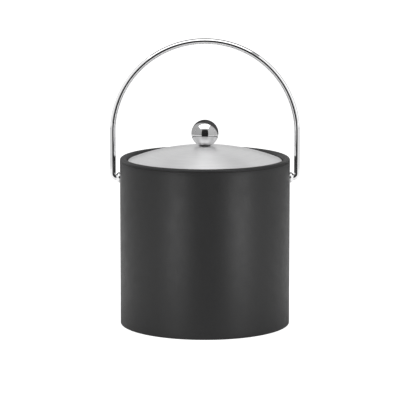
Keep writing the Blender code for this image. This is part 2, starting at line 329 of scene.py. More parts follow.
def cells(tree, place, size, feature="DISTANCE_TO_EDGE"):
    """Cells about this size: a place's distance from its cell's edge, or from its middle with F1."""
    inputs = {"Vector": place, "Scale": 1.0 / size}
    return add(tree, "TexVoronoi", inputs, feature=feature).outputs["Distance"]


def two_tone(tree, share, first, second):
    """A colour between two others, each given as three numbers or as an output."""
    mix = tree.nodes.new("ShaderNodeMix")
    mix.data_type = "RGBA"
    tree.links.new(share, mix.inputs[0])
    for socket, colour in ((mix.inputs[6], first), (mix.inputs[7], second)):
        if isinstance(colour, bpy.types.NodeSocket):
            tree.links.new(colour, socket)
        else:
            socket.default_value = (*colour, 1.0)
    return mix.outputs[2]


def bump(tree, height, depth, under=None):
    """A bump whose height, from 0 to 1, stands for that depth in metres."""
    inputs = {"Height": height, "Distance": depth}
    if under:
        inputs["Normal"] = under
    return add(tree, "Bump", inputs).outputs["Normal"]


def round_place(tree, place, per_radius, per_turn):
    """Coordinates that run out along the radius and round the axis, for marks that a lathe leaves."""
    flat = add(tree, "VectorMath", {0: place, 1: (1.0, 1.0, 0.0)}, operation="MULTIPLY").outputs[0]
    radius = add(tree, "VectorMath", {0: flat}, operation="LENGTH").outputs["Value"]
    way = add(tree, "VectorMath", {0: flat}, operation="NORMALIZE").outputs[0]
    parts = add(tree, "SeparateXYZ", {0: way}).outputs
    inputs = {
        0: calc(tree, "MULTIPLY", radius, per_radius),
        1: calc(tree, "MULTIPLY", parts[0], per_turn),
        2: calc(tree, "MULTIPLY", parts[1], per_turn),
    }
    return add(tree, "CombineXYZ", inputs).outputs[0]


def connect(tree, shader, **sockets):
    """Sets the shader's sockets. Names are written with underscores for spaces."""
    for key, value in sockets.items():
        socket = shader.inputs[key.replace("_", " ")]
        if isinstance(value, bpy.types.NodeSocket):
            tree.links.new(value, socket)
        else:
            socket.default_value = value


# ---------------------------------------------------------------- materials


def vinyl_material():
    """Charcoal vinyl with a fine leather grain, painted shade darkening its creases, and faintly uneven gloss.
    """
    made, tree, shader, place = new_material("grained_charcoal_vinyl")
    pebble_bump_and_crease_shade = between(tree, cells(tree, place, 0.9 * MM), 0.0, 0.22, soft=True)
    pores = grain(tree, place, 0.35 * MM)
    clouds = grain(tree, place, 28.0 * MM, 3.0)
    tone = two_tone(tree, clouds, (0.0170, 0.0170, 0.0176), (0.0205, 0.0205, 0.0210))
    # Painted shade: the creases between the pebbles are made darker than the rest of the vinyl.
    crease_shaded_tone = two_tone(tree, pebble_bump_and_crease_shade, (0.0125, 0.0125, 0.0130), tone)
    gloss = between(tree, grain(tree, place, 11.0 * MM, 3.0), 0.3, 0.7, 0.36, 0.44)
    height = calc(tree, "ADD", pebble_bump_and_crease_shade, calc(tree, "MULTIPLY", pores, 0.3))
    connect(
        tree,
        shader,
        Base_Color=crease_shaded_tone,
        Roughness=gloss,
        Normal=bump(tree, height, 0.022 * MM),
        Specular_IOR_Level=0.60,
        Sheen_Weight=0.04,
        Sheen_Roughness=0.4,
    )
    return made


def board_material():
    """Grey-brown paperboard: long fibres, flecks and a faint line at each ply."""
    made, tree, shader, place = new_material("wound_paperboard")
    parts = add(tree, "SeparateXYZ", {0: place}).outputs
    around_place = round_place(tree, place, 900.0, 60.0)
    fibres = grain(tree, around_place, 1.0, 4.0, 0.7)
    flecks = between(tree, cells(tree, place, 2.2 * MM, "F1"), 0.0, 0.22, 1.0, 0.0)
    plies = calc(tree, "FRACT", calc(tree, "MULTIPLY", parts[2], 1.0 / PLY_WIDTH))
    ply_line = between(tree, plies, 0.0, 0.02, 1.0, 0.0)
    tone = two_tone(tree, fibres, (0.24, 0.21, 0.17), (0.38, 0.34, 0.29))
    flecked = two_tone(tree, calc(tree, "MULTIPLY", flecks, 0.5), tone, (0.12, 0.10, 0.08))
    height = calc(tree, "SUBTRACT", fibres, ply_line)
    connect(
        tree,
        shader,
        Base_Color=flecked,
        Roughness=between(tree, fibres, 0.2, 0.8, 0.78, 0.92),
        Normal=bump(tree, height, 0.10 * MM),
    )
    return made


def liner_material():
    """White moulded plastic: faint flow marks, a fine spark texture and light scuffs."""
    made, tree, shader, place = new_material("moulded_white_plastic")
    stretched = add(tree, "VectorMath", {0: place, 1: (1.0, 1.0, 0.2)}, operation="MULTIPLY").outputs[0]
    flow = grain(tree, stretched, 18.0 * MM, 3.0)
    spark = grain(tree, place, 0.5 * MM, 3.0, 0.7)
    scuffs = between(tree, grain(tree, round_place(tree, place, 40.0, 400.0), 1.0, 5.0, 0.8), 0.60, 0.75)
    tone = two_tone(tree, flow, (0.76, 0.76, 0.74), (0.82, 0.82, 0.80))
    base = between(tree, flow, 0.3, 0.7, 0.30, 0.38)
    connect(
        tree,
        shader,
        Base_Color=tone,
        Roughness=calc(tree, "ADD", base, calc(tree, "MULTIPLY", scuffs, 0.18)),
        Normal=bump(tree, spark, 0.010 * MM, bump(tree, flow, 0.06 * MM)),
        Specular_IOR_Level=0.5,
        Subsurface_Weight=0.06,
        Subsurface_Scale=0.004,
    )
    return made


def foam_material():
    """White bead foam: pressed beads with dark joints between them."""
    made, tree, shader, place = new_material("bead_foam")
    joints = between(tree, cells(tree, place, BEAD_SIZE), 0.0, 0.12, soft=True)
    dimples = grain(tree, place, 0.9 * MM, 3.0)
    tone = two_tone(tree, joints, (0.62, 0.62, 0.60), (0.86, 0.86, 0.84))
    height = calc(tree, "ADD", joints, calc(tree, "MULTIPLY", dimples, 0.2))
    connect(
        tree,
        shader,
        Base_Color=tone,
        Roughness=between(tree, dimples, 0.3, 0.7, 0.80, 0.92),
        Normal=bump(tree, height, 0.30 * MM),
    )
    return made


def felt_material():
    """Dark pressed felt: crossing fibres, lint and a soft sheen."""
    made, tree, shader, place = new_material("pressed_dark_felt")
    fibres = []
    for stretch in ((1.0, 0.16, 1.0), (0.16, 1.0, 1.0)):
        along = add(tree, "VectorMath", {0: place, 1: stretch}, operation="MULTIPLY").outputs[0]
        inputs = {"Vector": along, "Scale": 1.0 / (0.5 * MM), "Detail": 3.0, "Distortion": 1.5}
        fibres.append(add(tree, "TexNoise", inputs).outputs["Fac"])
    matted = calc(tree, "MAXIMUM", fibres[0], fibres[1])
    clumps = grain(tree, place, 9.0 * MM, 3.0)
    lint = between(tree, matted, 0.66, 0.74)
    tone = two_tone(tree, clumps, (0.012, 0.012, 0.013), (0.026, 0.026, 0.028))
    linted = two_tone(tree, calc(tree, "MULTIPLY", lint, 0.35), tone, (0.10, 0.10, 0.10))
    connect(
        tree,
        shader,
        Base_Color=linted,
        Roughness=between(tree, matted, 0.4, 0.8, 0.98, 0.85),
        Normal=bump(tree, matted, 0.25 * MM, bump(tree, clumps, 0.30 * MM)),
        Specular_IOR_Level=0.2,
        Sheen_Weight=0.35,
        Sheen_Roughness=0.5,
    )
    return made


def spun_metal_material():
    """Satin spun metal: fine rings round the axis, broader tool marks and faint handling smudges."""
    made, tree, shader, place = new_material("satin_spun_metal")
    fine = grain(tree, round_place(tree, place, 1.0 / (0.28 * MM), 5.0), 1.0, 2.0, 0.6)
    broad = grain(tree, round_place(tree, place, 1.0 / (1.7 * MM), 1.6), 1.0, 2.0)
    smudges = grain(tree, place, 26.0 * MM, 4.0)
    streaks = calc(tree, "ADD", calc(tree, "MULTIPLY", fine, 0.5), calc(tree, "MULTIPLY", broad, 0.5))
    tone = two_tone(tree, between(tree, streaks, 0.35, 0.65), (0.70, 0.70, 0.705), (0.78, 0.78, 0.785))
    rough = between(tree, streaks, 0.3, 0.7, 0.38, 0.48)
    dull = between(tree, smudges, 0.45, 0.70, 0.0, 0.05)
    tangent = add(tree, "Tangent", direction_type="RADIAL", axis="Z").outputs[0]
    connect(
        tree,
        shader,
        Base_Color=tone,
        Metallic=1.0,
        Roughness=calc(tree, "ADD", rough, dull),
        Normal=bump(tree, streaks, 0.010 * MM),
        Anisotropic=0.75,
        Anisotropic_Rotation=0.25,
        Tangent=tangent,
    )
    return made


def chrome_material():
    """Polished chrome: nearly mirror-like, with faint smudges, wipe marks and waviness."""
    made, tree, shader, place = new_material("polished_chrome")
    smudges = between(tree, grain(tree, place, 7.0 * MM, 4.0, 0.6), 0.45, 0.75)
    wipes = between(tree, grain(tree, place, 0.6 * MM, 2.0), 0.5, 0.8)
    tone = two_tone(tree, smudges, (0.86, 0.86, 0.865), (0.80, 0.80, 0.805))
    haze = between(tree, smudges, 0.0, 1.0, 0.03, 0.09)
    waves = grain(tree, place, 9.0 * MM, 1.0)
    connect(
        tree,
        shader,
        Base_Color=tone,
        Metallic=1.0,
        Roughness=calc(tree, "ADD", haze, calc(tree, "MULTIPLY", wipes, 0.02)),
        Normal=bump(tree, waves, 0.010 * MM),
    )
    return made


def zinc_material():
    """Zinc-plated steel: crystalline patches and fine scratches."""
    made, tree, shader, place = new_material("zinc_plated_steel")
    patches = cells(tree, place, 1.6 * MM, "F1")
    scratches = between(tree, grain(tree, place, 0.25 * MM, 3.0, 0.7), 0.55, 0.75)
    tone = two_tone(tree, between(tree, patches, 0.1, 0.7), (0.50, 0.52, 0.55), (0.66, 0.67, 0.68))
    connect(
        tree,
        shader,
        Base_Color=tone,
        Metallic=1.0,
        Roughness=between(tree, calc(tree, "ADD", patches, scratches), 0.0, 1.4, 0.24, 0.46),
        Normal=bump(tree, scratches, 0.008 * MM),
    )
    return made


def rubber_material():
    """Black rubber: a matt moulded skin with a trace of bloom."""
    made, tree, shader, place = new_material("moulded_black_rubber")
    skin = grain(tree, place, 0.3 * MM, 3.0, 0.6)
    bloom = between(tree, grain(tree, place, 3.0 * MM, 3.0), 0.5, 0.75)
    connect(
        tree,
        shader,
        Base_Color=two_tone(tree, bloom, (0.06, 0.06, 0.06), (0.09, 0.09, 0.09)),
        Roughness=between(tree, skin, 0.3, 0.7, 0.52, 0.68),
        Normal=bump(tree, skin, 0.020 * MM),
        Specular_IOR_Level=0.4,
    )
    return made


# ---------------------------------------------------------------- pieces


def piece(name, mesh, finish, body, node, sharp=38):
    """The finished object of a mesh. It rides on a body and stands for a node."""
    mesh.materials.clear()
    mesh.materials.append(finish)
    mesh.shade_smooth()
    mesh.set_sharp_from_angle(angle=math.radians(sharp))
    made = bpy.data.objects.new(name, mesh)
    bpy.context.scene.collection.objects.link(made)
    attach(made, body)
    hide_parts(node)
    return made


def seam_angles():
    """Even steps round the circle, with fine ones across the seam at the back."""
    back = math.pi / 2
    half = SEAM_HALF_WIDTH / around("vinyl_cover")[0]
    even = [TAU * step / BIG_ROUND for step in range(BIG_ROUND)]
    fine = [back + half * step / 4 for step in range(-8, 9)]
    return sorted(fine + [angle for angle in even if abs(angle - back) > 2.5 * half])


def seam(angle):
    """Depth of the seam's groove at an angle, from 0 to 1. It is below 0 on the slight lift beside it."""
    across = abs(angle - math.pi / 2) * around("vinyl_cover")[0] / SEAM_HALF_WIDTH
    if across < 1.0:
        return (1.0 - across) ** 1.5
    return -0.16 * max(0.0, 1.0 - abs(across - 1.4) / 0.6)


def ear_drill():
    """The cylinder that both ears' holes are drilled with."""
    reach = 1.5 * around("vinyl_cover")[0]
    radius = EAR_SHANK_RADIUS + GAP
    outline = [(0.0, -reach), (radius, -reach), (radius, reach), (0.0, reach)]
    return facing_out(turned("ear_drill", outline, False, MEDIUM_ROUND), 1, 0.0, hinge_height())


def vinyl_wrap(finish):
    """The sheet round the wall, turned under it, with a butt seam at the back."""
    radius, bottom, top = around("vinyl_cover")
    inner = around("shell_tube")[0] + GAP
    hem = bore("vinyl_cover")
    thickness = radius - inner
    outline = rounded(
        [
            (inner, top, 0.0),
            (radius, top, 0.28 * MM),
            (radius, bottom, 0.55 * MM),
            (hem, bottom, 0.2 * MM),
            (hem, bottom + thickness, 0.2 * MM),
            (inner, bottom + thickness, 0.0),
        ]
    )
    outline = divided(outline, 5.0 * MM)

    def shape(far, high, angle):
        depth = SEAM_DEPTH * seam(angle)
        if far > radius - 0.1 * MM:
            return min(far - depth, radius), high
        if high < bottom + 0.1 * MM:
            spot = Vector((40.0 * math.cos(angle), 40.0 * math.sin(angle), far / MM))
            fray = 0.25 * MM * noise.noise(spot) if far < hem + 1.0 * MM else 0.0
            return far + fray, max(high + depth, bottom)
        return far, high

    mesh = turned("vinyl_wrap", outline, angles=seam_angles(), shape=shape)
    piece("vinyl_wrap", carved(mesh, [ear_drill()]), finish, "bucket", "vinyl_cover")


def rolled_rim(finish):
    """The rim rolled over the wall's top, with a skirt down inside, and the sheet's seam at the back."""
    radius, skirt_bottom, crown = around("rim_ring")
    inner = bore("rim_ring")
    skirt_radius = around("base_disc")[0]
    bottom = around("vinyl_cover")[2] + GAP
    middle = (radius + inner) / 2
    half = (radius - inner) / 2
    corner = 0.4 * MM
    outer_start = bottom + corner
    outline = arc((middle, crown - half), half, half, 180, 90, 14)[:-1]
    outline += arc((middle, outer_start), half, crown - outer_start, 90, 0, 16)
    outline += arc((radius - corner, outer_start), corner, corner, 0, -90, 4)[1:]
    outline += rounded(
        [
            (skirt_radius, bottom, 0.0),
            (skirt_radius, skirt_bottom, 0.3 * MM),
            (inner, skirt_bottom, 0.3 * MM),
            (inner, crown - half, 0.0),
        ],
        closed=False,
    )[:-1]
    heart = Vector((middle, crown - half))

    def shape(far, high, angle):
        depth = SEAM_DEPTH * seam(angle)
        if high < bottom + corner or depth <= 0.0:
            return far, high
        out = (Vector((far, high)) - heart).normalized()
        return far - depth * out.x, high - depth * out.y

    mesh = turned("rolled_rim", outline, angles=seam_angles(), shape=shape)
    piece("rolled_rim", mesh, finish, "bucket", "rim_ring")


def board_tube(finish):
    """The wall's tube of wound board, with a shallow spiral step where one of its two plies ends."""
    radius, bottom, top = around("shell_tube")
    inner = around("base_disc")[0] + GAP
    edge = 0.3 * MM
    corners = [(inner, bottom, edge), (radius, bottom, edge), (radius, top, edge), (inner, top, edge)]

    def shape(far, high, angle):
        turn = (high / (2.0 * PLY_WIDTH) - angle / TAU) % 1.0
        step = 0.12 * MM * max(0.0, 1.0 - turn / 0.06)
        return (far - step if far > radius - 0.1 * MM else far), high

    outline = rounded(corners)
    mesh = turned("board_tube", divided(outline + outline[:1], 2.5 * MM)[:-1], shape=shape)
    piece("board_tube", carved(mesh, [ear_drill()]), finish, "bucket", "shell_tube")


def board_base(finish):
    """The board disc that closes the tube, with pressed edges."""
    radius, bottom, top = around("base_disc")
    corners = [(0.0, top, 0.0), (radius, top, 0.5 * MM), (radius, bottom, 0.5 * MM), (0.0, bottom, 0.0)]
    outline = divided(rounded(corners, closed=False), 6.0 * MM)

    def shape(far, high, angle):
        place = Vector((far * math.cos(angle), far * math.sin(angle), high)) / (14.0 * MM)
        return far, high - 0.08 * MM * abs(noise.noise(place)) if high > top - 0.01 * MM else high

    mesh = turned("board_base", outline, False, shape=shape)
    piece("board_base", mesh, finish, "bucket", "base_disc")


def felt_foot(finish):
    """The felt disc under the base, with a soft cut edge and a slightly uneven face."""
    radius, bottom, top = around("base_felt")
    corners = [(0.0, top, 0.0), (radius, top, 0.45 * MM), (radius, bottom, 0.45 * MM), (0.0, bottom, 0.0)]
    outline = divided(rounded(corners, closed=False), 3.0 * MM)

    def shape(far, high, angle):
        spot = Vector((far * math.cos(angle), far * math.sin(angle), high))
        lift = 0.05 * MM * (1.0 + noise.noise(spot / (5.0 * MM)))
        ragged = 0.22 * MM * (noise.noise(spot / (0.9 * MM)) - 0.6)
        edge = max(0.0, 1.0 - (radius - far) / (1.0 * MM))
        return far + edge * ragged, high + (lift if high < (bottom + top) / 2 else -lift)

    mesh = turned("felt_foot", outline, False, 360, shape=shape)
    piece("felt_foot", mesh, finish, "bucket", "base_felt", sharp=80)


@functools.cache
def liner_mouth():
    """Radius of the liner's mouth, where its wall meets its flange."""
    top = around("inner_liner")[2]
    corners = [corner.co for corner in frame["nodes"]["inner_liner"].data.vertices]
    return min(corner.xy.length for corner in corners if corner.z > top - GAP)


def liner_radius(height):
    """The liner's inner radius at a height, along its draft."""
    floor = around("inner_liner")[1] + LINER_WALL
    top = around("inner_liner")[2]
    floor_radius = around("foam_pad")[0] - LINER_WALL
    return floor_radius + (liner_mouth() - floor_radius) * (height - floor) / (top - floor)


def liner_pail(finish):
    """The moulded pail: a drafted wall, a filleted floor with a gate mark, and a lipped flange."""
    flange_radius, bottom, top = around("inner_liner")
    floor = bottom + LINER_WALL
    flange_bottom = top - LINER_FLANGE
    outside = LINER_CORNER + LINER_WALL
    gate = 2.4 * MM
    outline = rounded(
        [
            (0.0, floor + 0.25 * MM, 0.0),
            (gate, floor + 0.25 * MM, 0.15 * MM),
            (gate + 0.3 * MM, floor, 0.15 * MM),
            (liner_radius(floor), floor, LINER_CORNER),
            (liner_radius(top), top, 0.9 * MM),
            (flange_radius, top, 0.3 * MM),
            (flange_radius, flange_bottom, 0.3 * MM),
            (liner_radius(flange_bottom) + LINER_WALL, flange_bottom, 0.5 * MM),
            (liner_radius(bottom) + LINER_WALL, bottom, outside),
            (0.0, bottom, 0.0),
        ],
        closed=False,
        steps=8,
    )
    mesh = turned("liner_pail", divided(outline, 8.0 * MM), False)
    piece("liner_pail", mesh, finish, "bucket", "inner_liner")


def bead_dimples(spot):
    """How far the skin of bead foam sinks at a spot, from 0 to 1."""
    distances = noise.voronoi(spot / BEAD_SIZE)[0]
    return max(0.0, 1.0 - 3.0 * (distances[1] - distances[0]))


def foam_wall(finish):
    """The foam sleeve round the liner, moulded from beads."""
    radius, bottom, top = around("foam_sleeve")
    slack = LINER_WALL + FOAM_FIT
    floor = around("inner_liner")[1] + LINER_WALL
    corners = [
        (radius, top, 0.8 * MM),
        (radius, bottom, 0.8 * MM),
        (liner_radius(floor) + slack, bottom, 0.4 * MM),
        (liner_radius(floor) + slack, floor, 0.0),
        (liner_radius(top) + slack, top, 0.8 * MM),
    ]
    outline = rounded(corners)

    def shape(far, high, angle):
        sink = 0.12 * MM * bead_dimples(Vector((far * math.cos(angle), far * math.sin(angle), high)))
        return far - sink if far > radius - 1.0 * MM else far + sink, high

    mesh = turned("foam_wall", divided(outline + outline[:1], 3.0 * MM)[:-1], shape=shape)
    piece("foam_wall", mesh, finish, "bucket", "foam_sleeve", sharp=60)


def foam_base(finish):
    """The foam block that the liner stands on."""
    radius, bottom, top = around("foam_pad")
    corners = [(0.0, top, 0.0), (radius, top, 0.8 * MM), (radius, bottom, 0.8 * MM), (0.0, bottom, 0.0)]

    def shape(far, high, angle):
        sink = 0.12 * MM * bead_dimples(Vector((far * math.cos(angle), far * math.sin(angle), high)))
        return far - sink, high - sink if high > (bottom + top) / 2 else high + sink

    mesh = turned("foam_base", divided(rounded(corners, closed=False), 4.0 * MM), False, shape=shape)
    piece("foam_base", mesh, finish, "bucket", "foam_pad", sharp=60)


def ear_bushing(side, word, finish):
    """A domed bushing through the wall, with the rod's bore and a threaded shank."""
    low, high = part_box("ear_" + word)
    near = min(abs(low.x), abs(high.x))
    base = around("vinyl_cover")[0] + GAP
    radius = (high.y - low.y) / 2
    mouth_angle = math.degrees(math.acos((EAR_BORE_RADIUS + GAP) / radius))
    mouth = EAR_DOME_HEIGHT * math.sin(math.radians(mouth_angle))
    end = near - base
    outline = [(radius - 0.25 * MM, 0.0)]
    outline += arc((0.0, 0.0), radius, EAR_DOME_HEIGHT, 4, mouth_angle, 20)
    outline += [(EAR_BORE_RADIUS + 0.1 * MM, mouth - 0.05 * MM), (EAR_BORE_RADIUS, mouth - GAP)]
    outline += [(EAR_BORE_RADIUS, end), (EAR_SHANK_RADIUS - 0.5 * MM, end)]
    shank = [(EAR_SHANK_RADIUS, end + 0.5 * MM), (EAR_SHANK_RADIUS, 0.0)]
    outline += divided(shank, THREAD_STEP)
    shape = thread(EAR_SHANK_RADIUS, EAR_THREAD_PITCH, 0.35 * MM, end + 0.6 * MM, -4.6 * MM)
    mesh = turned("ear_bushing", outline, sides=MEDIUM_ROUND, shape=shape)
    mesh = facing_out(mesh, side, base, hinge_height())
    piece("ear_bushing_" + word, mesh, finish, "bucket", "ear_" + word)


def wall_washer(side, word, finish):
    """The washer that the ear's nut bears on, inside the wall."""
    low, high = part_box("ear_washer_" + word)
    radius = (high.y - low.y) / 2
    hole = EAR_SHANK_RADIUS + GAP
    face = max(abs(low.x), abs(high.x))
    back = low.x - high.x
    corners = [(hole, 0.0, 0.1 * MM), (radius, 0.0, 0.25 * MM)]
    corners += [(radius, back, 0.15 * MM), (hole, back, 0.1 * MM)]
    mesh = turned("wall_washer", rounded(corners), sides=MEDIUM_ROUND)
    mesh = facing_out(mesh, side, face, hinge_height())
    piece("wall_washer_" + word, mesh, finish, "bucket", "ear_washer_" + word)


def hex_nut(side, word, finish):
    """A thin hexagon nut with chamfered corners and a threaded hole."""
    low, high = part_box("ear_nut_" + word)
    thick = high.x - low.x
    face = max(abs(low.x), abs(high.x))
    corner = max(high.y - low.y, high.z - low.z) / 2
    flat = corner * math.cos(math.pi / 6)
    hole = EAR_SHANK_RADIUS + 0.25 * MM
    chamfer = 0.12 * corner
    outline = [(corner - chamfer, 0.0), (corner, -chamfer / 2), (corner, chamfer / 2 - thick)]
    outline += [(corner - chamfer, -thick), (hole + 0.3 * MM, -thick)]
    outline += divided([(hole, 0.3 * MM - thick), (hole, -0.3 * MM)], THREAD_STEP)
    outline += [(hole + 0.3 * MM, 0.0)]

    def shape(far, high_at, angle):
        if far < hole + 0.01 * MM:
            turn = (high_at / EAR_THREAD_PITCH - angle / TAU) % 1.0
            return far + 0.3 * MM * abs(2.0 * turn - 1.0), high_at
        sixth = TAU / 6
        return min(far, flat / math.cos(angle % sixth - sixth / 2)), high_at

    mesh = turned("hex_nut", outline, sides=MEDIUM_ROUND, shape=shape)
    mesh = facing_out(mesh, side, face, hinge_height())
    piece("hex_nut_" + word, mesh, finish, "bucket", "ear_nut_" + word, sharp=20)


def bail_rod(finish):
    """The bent rod: in through one ear, up, over in a half circle, and back in through the other."""
    low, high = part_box("bail_handle")
    radius = (high.y - low.y) / 2
    half_span = high.x - radius
    pivot = hinge_height()
    arch = high.z - radius - half_span
    bend = half_span - BAIL_BEND_RADIUS
    left = [(-BAIL_TIP, pivot)]
    left += arc((-bend, pivot + BAIL_BEND_RADIUS), BAIL_BEND_RADIUS, BAIL_BEND_RADIUS, 270, 180, 14)
    leg = [left[-1], (-half_span, arch)]
    left += divided(leg, 6.0 * MM)[1:-1]
    left += arc((0.0, arch), half_span, half_span, 180, 90, 72)
    right = [(-x, z) for x, z in reversed(left[:-1])]
    mesh = swept_rod("bail_rod", left + right, radius, 0.7 * MM)
    piece("bail_rod", mesh, finish, "bail", "bail_handle", sharp=50)


def spun_lid(finish):
    """The spun dome with its edge turned down."""
    radius, bottom, apex = around("lid_dome")
    heart = apex - LID_DOME_RADIUS
    edge_radius = radius - LID_EDGE_RADIUS
    inner = radius - LID_METAL
    edge_height = heart + math.sqrt((LID_DOME_RADIUS - LID_EDGE_RADIUS) ** 2 - edge_radius**2)
    edge_angle = math.degrees(math.atan2(edge_height - heart, edge_radius))
    hole_angle = math.degrees(math.acos(SCREW_HOLE_RADIUS / LID_DOME_RADIUS))
    under = LID_DOME_RADIUS - LID_METAL
    under_angle = math.degrees(math.acos(inner / under))
    outline = arc((0.0, heart), LID_DOME_RADIUS, LID_DOME_RADIUS, hole_angle, edge_angle, 48)
    outline += arc((edge_radius, edge_height), LID_EDGE_RADIUS, LID_EDGE_RADIUS, edge_angle, 0, 8)[1:]
    outline += [(radius, bottom + 0.3 * MM), (radius - 0.3 * MM, bottom), (inner + 0.2 * MM, bottom)]
    outline += [(inner, bottom + 0.2 * MM)]
    outline += arc((0.0, heart), under, under, under_angle, hole_angle, 32)
    mesh = turned("spun_lid", outline, sides=360)
    piece("spun_lid", mesh, finish, "lid", "lid_dome")


def chrome_ball(finish):
    """The knob's ball, with a small flat underneath and a blind hole for the screw."""
    radius, flat, top = around("knob_ball")
    centre = top - radius
    flat_angle = math.degrees(math.asin((flat - centre) / radius))
    bore_top = flat + BALL_BORE_DEPTH
    outline = [(0.0, bore_top), (SCREW_HOLE_RADIUS, bore_top - 1.0 * MM)]
    outline += [(SCREW_HOLE_RADIUS, flat + 0.3 * MM), (SCREW_HOLE_RADIUS + 0.3 * MM, flat)]
    outline += arc((0.0, centre), radius, radius, flat_angle, 90, 64)[:-1]
    outline += [(0.0, top)]
    mesh = turned("chrome_ball", outline, False, 128)
    piece("chrome_ball", mesh, finish, "lid", "knob_ball", sharp=30)


def rubber_collar(finish):
    """The soft ring between the ball and the lid."""
    radius, bottom, top = around("knob_collar")
    hole = bore("knob_collar")
    edge = 0.4 * (top - bottom)
    corners = [(hole, bottom, 0.1 * MM), (radius, bottom, edge), (radius, top, edge), (hole, top, 0.1 * MM)]
    mesh = turned("rubber_collar", rounded(corners), sides=MEDIUM_ROUND)
    piece("rubber_collar", mesh, finish, "lid", "knob_collar")


def lid_washer(finish):
    """The washer under the lid, round the knob's screw."""
    radius, bottom, top = around("knob_washer")
    hole = bore("knob_washer")
    edge = 0.2 * MM
    corners = [(hole, bottom, 0.1 * MM), (radius, bottom, edge), (radius, top, edge), (hole, top, 0.1 * MM)]
    mesh = turned("lid_washer", rounded(corners), sides=MEDIUM_ROUND)
    piece("lid_washer", mesh, finish, "lid", "knob_washer")


def lid_screw(finish):
    """The slotted pan-head screw that comes up through the lid into the ball."""
    radius, bottom, top = around("knob_screw")
    head_top = bottom + SCREW_HEAD_HEIGHT
    rise = 0.55 * SCREW_HEAD_HEIGHT
    outline = arc((0.0, bottom + rise), radius, rise, -90, 0, 12)
    edge = 0.2 * MM
    outline += [(radius, head_top - edge), (radius - edge, head_top), (SCREW_RADIUS + edge, head_top)]
    point = top - 1.0 * MM
    outline += divided([(SCREW_RADIUS, head_top + edge), (SCREW_RADIUS, point)], THREAD_STEP)
    outline += [(0.5 * SCREW_RADIUS, top), (0.0, top)]
    shape = thread(SCREW_RADIUS, SCREW_THREAD_PITCH, 0.3 * MM, head_top + 1.2 * MM, point)
    mesh = turned("lid_screw", outline, False, SMALL_ROUND, shape=shape)
    slot = box_mesh((4.0 * radius, 0.9 * MM, 2.2 * MM), (0.0, 0.0, bottom))
    piece("lid_screw", carved(mesh, [slot]), finish, "lid", "knob_screw")


def build_pieces():
    """Every piece with its material. Pieces of one material share it."""
    vinyl = vinyl_material()
    board = board_material()
    foam = foam_material()
    chrome = chrome_material()
    zinc = zinc_material()
    vinyl_wrap(vinyl)
    rolled_rim(vinyl)
    board_tube(board)
    board_base(board)
    felt_foot(felt_material())
    liner_pail(liner_material())
    foam_wall(foam)
    foam_base(foam)
    for side, word in ((-1, "left"), (1, "right")):
        ear_bushing(side, word, chrome)
        wall_washer(side, word, zinc)
        hex_nut(side, word, zinc)
    bail_rod(chrome)
    spun_lid(spun_metal_material())
    chrome_ball(chrome)
    rubber_collar(rubber_material())
    lid_washer(zinc)
    lid_screw(zinc)


# ---------------------------------------------------------------- stage, light and camera

AIM_HEIGHT = 139.9 * MM
CAMERA_DISTANCE = 2.7468
CAMERA_ELEVATION = 9.35
CAMERA_LENS = 220.7
CAMERA_SHIFT = -0.0123
FLOOR_SIZE = 60.0


def floor_material():
    """White for the camera from above, and clear for it from below.

    Reflections see a round table that glows with painted light, brighter beside the bucket than in front of
    it.
    It is open under the bucket, so the underside gets some light.
    """
    made, tree, shader, place = new_material("pale_floor")
    seen = add(tree, "LightPath").outputs["Is Camera Ray"]
    reach = add(tree, "VectorMath", {0: place}, operation="LENGTH").outputs["Value"]
    aside = calc(tree, "ABSOLUTE", add(tree, "SeparateXYZ", {0: place}).outputs[0])
    glow_in_reflections = between(tree, between(tree, aside, 0.08, 0.30, soft=True), 0.0, 1.0, 0.05, 0.27)
    connect(
        tree,
        shader,
        Base_Color=two_tone(tree, grain(tree, place, 0.12), (0.78, 0.78, 0.78), (0.80, 0.80, 0.80)),
        Roughness=0.9,
        Specular_IOR_Level=0.1,
        Emission_Color=(1.0, 1.0, 1.0, 1.0),
        # Emission: plain white for the camera, and a painted glow for other rays that is brighter beside the
        # bucket.
        Emission_Strength=between(tree, seen, 0.0, 1.0, glow_in_reflections, 0.92),
    )
    bucket_radius = around("vinyl_cover")[0]
    under = between(tree, reach, bucket_radius - 0.5 * MM, bucket_radius, 1.0, 0.0)
    off_table = between(tree, reach, 1.2, 1.3)
    open_here = calc(tree, "MAXIMUM", off_table, under)
    missed = calc(tree, "MULTIPLY", open_here, calc(tree, "SUBTRACT", 1.0, seen))
    below = add(tree, "NewGeometry").outputs["Backfacing"]
    clear = add(tree, "BsdfTransparent").outputs[0]
    mix = {0: calc(tree, "MAXIMUM", below, missed), 1: shader.outputs[0], 2: clear}
    shown = add(tree, "MixShader", mix).outputs[0]
    tree.links.new(shown, tree.nodes["Material Output"].inputs["Surface"])
    return made


def stage_piece(name, mesh, finish):
    """An object that belongs to the studio and not to the bucket."""
    mesh.materials.append(finish)
    made = bpy.data.objects.new(name, mesh)
    bpy.context.scene.collection.objects.link(made)
    return made


def floor():
    """The flat ground that the bucket stands on."""
    form = bmesh.new()
    bmesh.ops.create_grid(form, x_segments=8, y_segments=8, size=FLOOR_SIZE / 2)
    stage_piece("studio_floor", mesh_of("studio_floor", form), floor_material())


def linked(light, pieces, only=True):
    """Lets a light reach only these pieces, or every piece but these."""
    group = bpy.data.collections.new(light.name + "_receivers")
    for name in pieces:
        group.objects.link(bpy.data.objects[name])
    for entry in group.collection_objects:
        entry.light_linking.link_state = "INCLUDE" if only else "EXCLUDE"
    light.light_linking.receiver_collection = group


def softbox(name, place, size, radiance, aim):
    """A rectangular light of that size at a place, facing a point. The camera doesn't see it."""
    light = bpy.data.lights.new(name, "AREA")
    light.shape = "RECTANGLE"
    light.size, light.size_y = size
    light.energy = radiance * math.pi * size[0] * size[1]
    made = bpy.data.objects.new(name, light)
    made.location = place
    made.rotation_euler = (Vector(aim) - Vector(place)).to_track_quat("-Z", "Y").to_euler()
    made.visible_camera = False
    bpy.context.scene.collection.objects.link(made)
    return made


